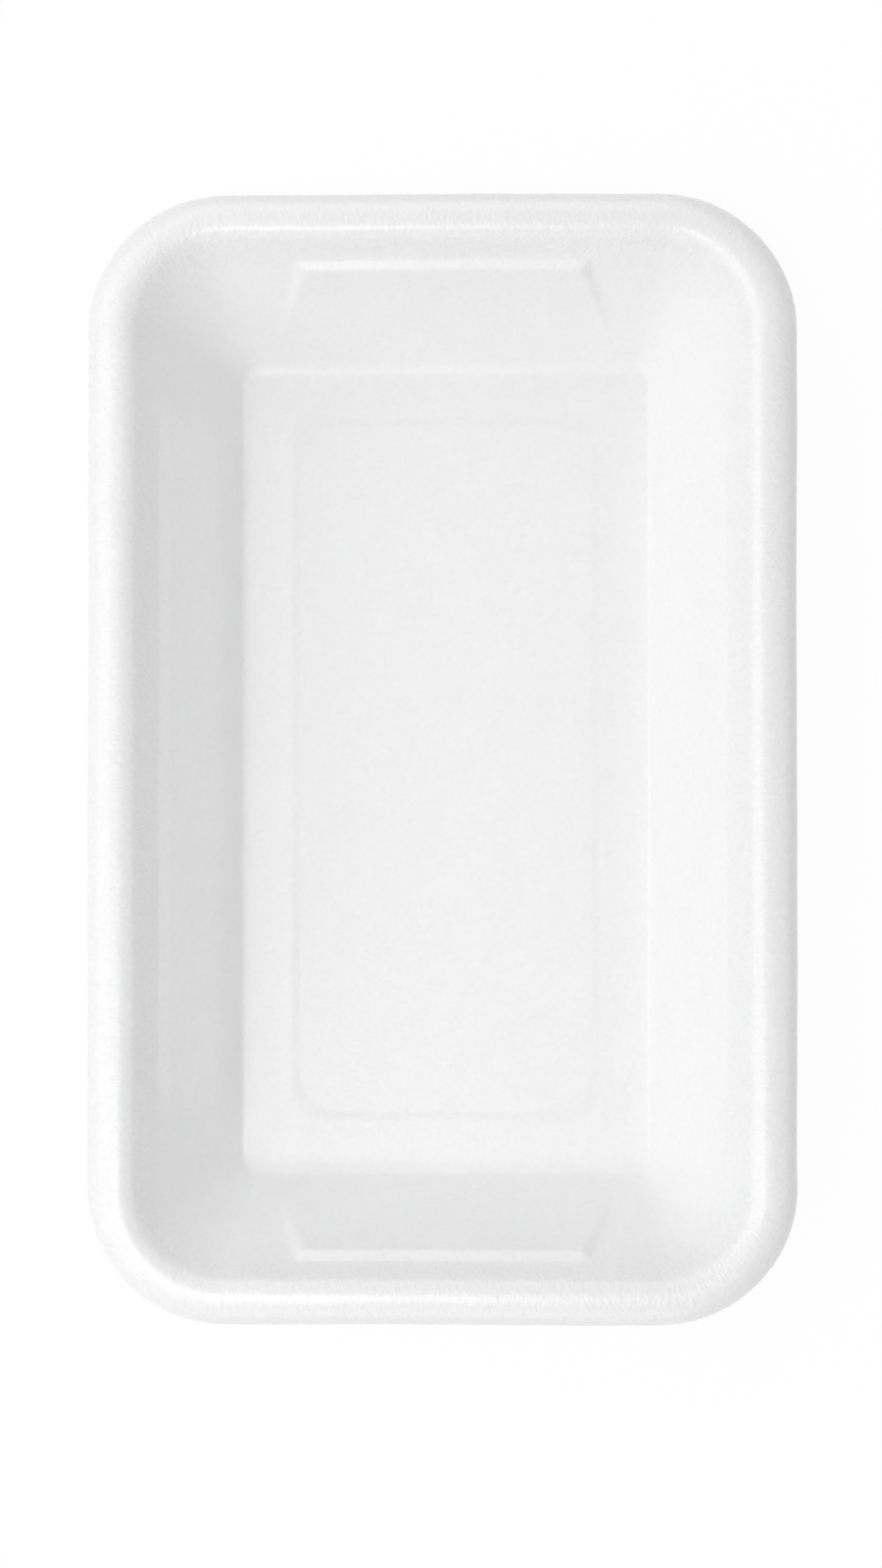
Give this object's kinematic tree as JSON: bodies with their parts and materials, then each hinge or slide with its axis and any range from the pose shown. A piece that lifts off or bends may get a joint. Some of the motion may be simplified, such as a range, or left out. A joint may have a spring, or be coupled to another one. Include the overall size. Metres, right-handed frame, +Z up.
{
  "type": "foam tray",
  "caption": "White rectangular foam food tray with a rolled rim, leaning walls, stacking shelves and a raised floor",
  "frame": {"origin": "middle of the tray in plan, on the plane that the foot ring stands on", "axes": "+X across the tray, +Y along its length, +Z up out of its open side"},
  "size_m": [0.138, 0.22, 0.03],
  "materials": {
    "foam": "white foam with a smooth, finely crinkled skin"
  },
  "bodies": {
    "root": {"foam_tray": "foam"}
  },
  "joints": []
}
